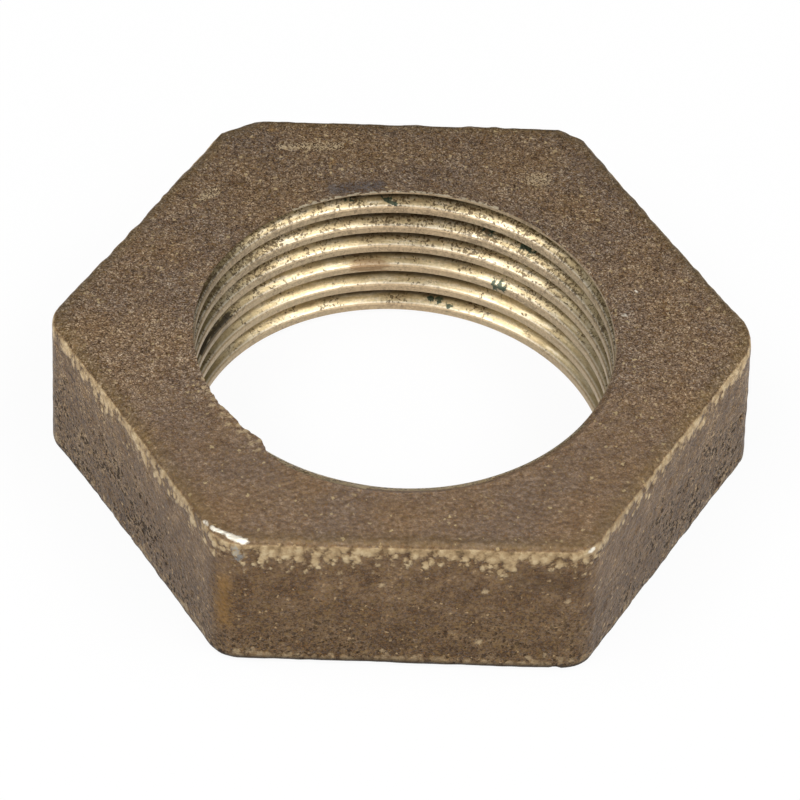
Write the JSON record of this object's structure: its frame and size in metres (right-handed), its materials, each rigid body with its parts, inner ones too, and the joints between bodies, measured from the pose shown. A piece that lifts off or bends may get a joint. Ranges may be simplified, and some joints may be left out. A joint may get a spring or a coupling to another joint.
{
  "type": "hexagon handwheel nut",
  "caption": "Cast bronze hexagon nut with rounded corners and a large fine right-hand thread, screwed on a sleeve to hold a handwheel down.",
  "frame": {"origin": "centre of the seat face, on the thread's axis", "axes": "+Z along the thread from the seat face to the outer face, +Y square to a flat, +X through a corner"},
  "size_m": [0.0522, 0.046, 0.0125],
  "materials": {
    "cast_bronze": "sand-cast and tarnished, bright in the thread"
  },
  "bodies": {
    "root": {"handwheel_nut": "cast_bronze"}
  },
  "joints": []
}
